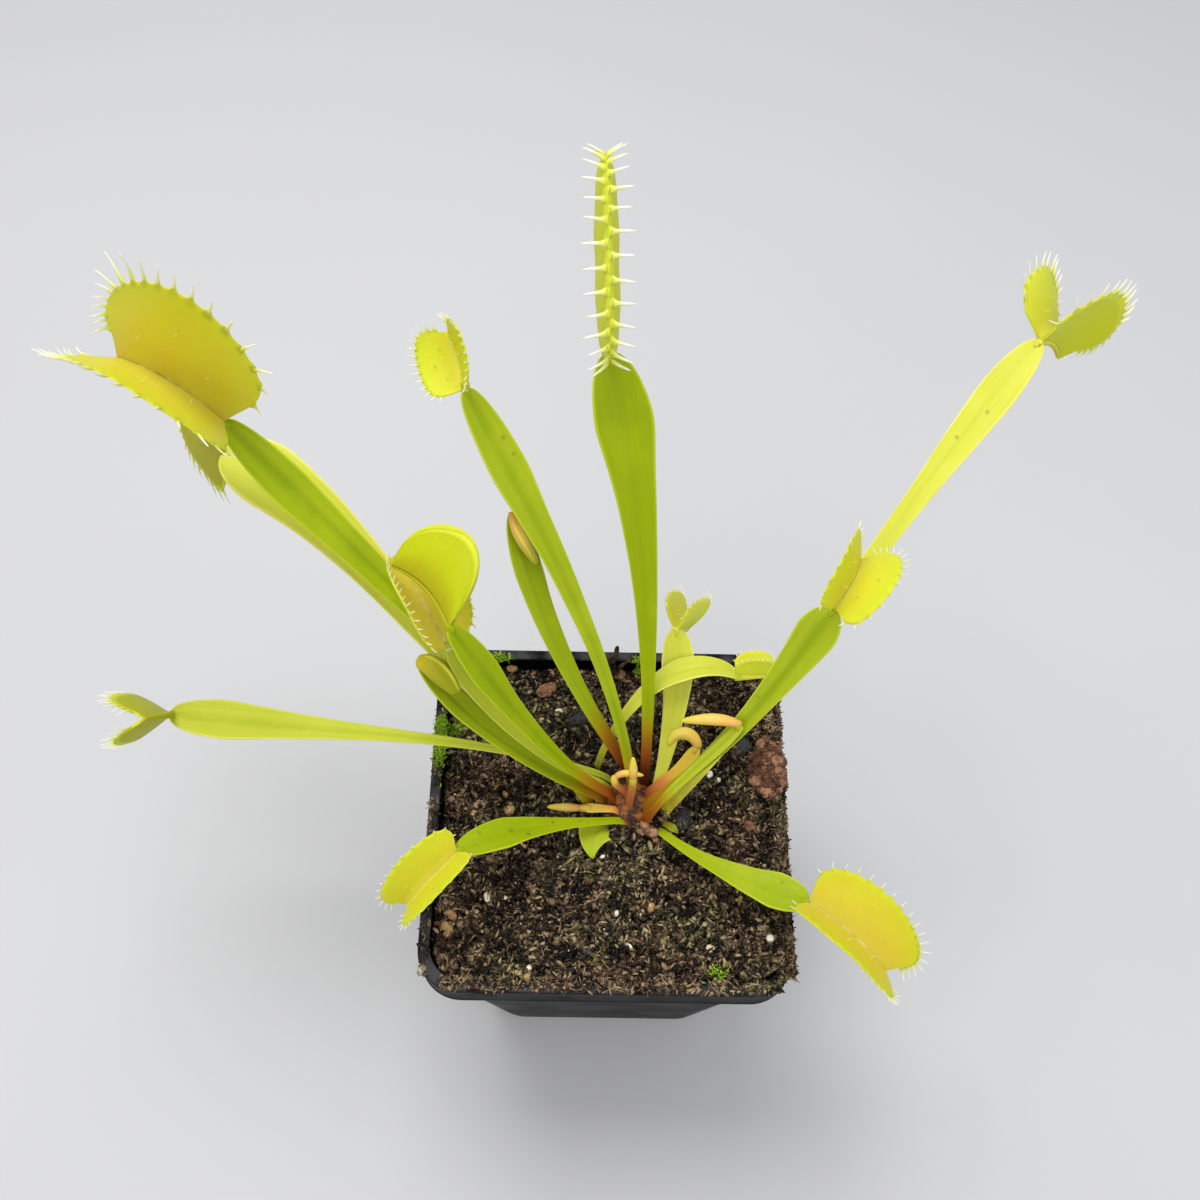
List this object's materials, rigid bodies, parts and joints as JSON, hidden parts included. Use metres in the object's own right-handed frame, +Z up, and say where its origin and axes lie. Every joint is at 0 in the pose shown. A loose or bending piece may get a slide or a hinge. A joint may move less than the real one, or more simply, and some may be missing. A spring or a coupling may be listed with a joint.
{
  "type": "potted venus flytrap",
  "caption": "Venus flytrap in a small square nursery pot: a rosette of narrow winged leaf stalks, each ending in a hinged two-lobed trap fringed with bristles.",
  "frame": {"origin": "middle of the pot's flat underside", "axes": "+Z up, +X to the viewer's right in the picture, +Y away from the viewer; the pot's sides run along X and Y"},
  "size_m": [0.2295, 0.1552, 0.1934],
  "materials": {
    "pot": "black moulded plastic, satin, smooth outside, a thin bright line on the lip's edge",
    "soil": "dark brown fibrous peat with pale perlite grains, bits of bark and a little moss",
    "crown": "overlapping reddish-brown leaf bases, some dry",
    "leaf_green": "bright yellow-green leaf, soft satin sheen, paler thin margins",
    "leaf_pale": "pale yellow-green older or shaded leaf, soft satin sheen",
    "new_growth": "young orange-pink growth with yellow tips, smooth and slightly glossy"
  },
  "bodies": {
    "root": {"pot": "pot", "soil": "soil", "crown": "crown", "leaf_upper_left": "leaf_green", "leaf_centre_left": "leaf_green", "leaf_new_centre_left": "leaf_green", "leaf_tall_centre": "leaf_green", "leaf_right": "leaf_green", "leaf_lower_right": "leaf_green", "leaf_lower_left": "leaf_green", "leaf_closed_trap": "leaf_green", "leaf_open_trap_behind": "leaf_green", "leaf_clam_trap": "leaf_green", "leaf_back_arching": "leaf_green", "small_blade_lower_left": "leaf_green", "stub_lower_right": "leaf_green", "leaf_upper_left_under": "leaf_pale", "leaf_far_right": "leaf_pale", "leaf_back_upright": "leaf_pale", "leaf_left": "leaf_pale", "new_leaf_folded_right": "new_growth", "new_leaf_hooked_right": "new_growth", "sprout_upright": "new_growth", "sprout_hooked": "new_growth", "new_leaf_folded_left": "new_growth"}
  },
  "joints": []
}
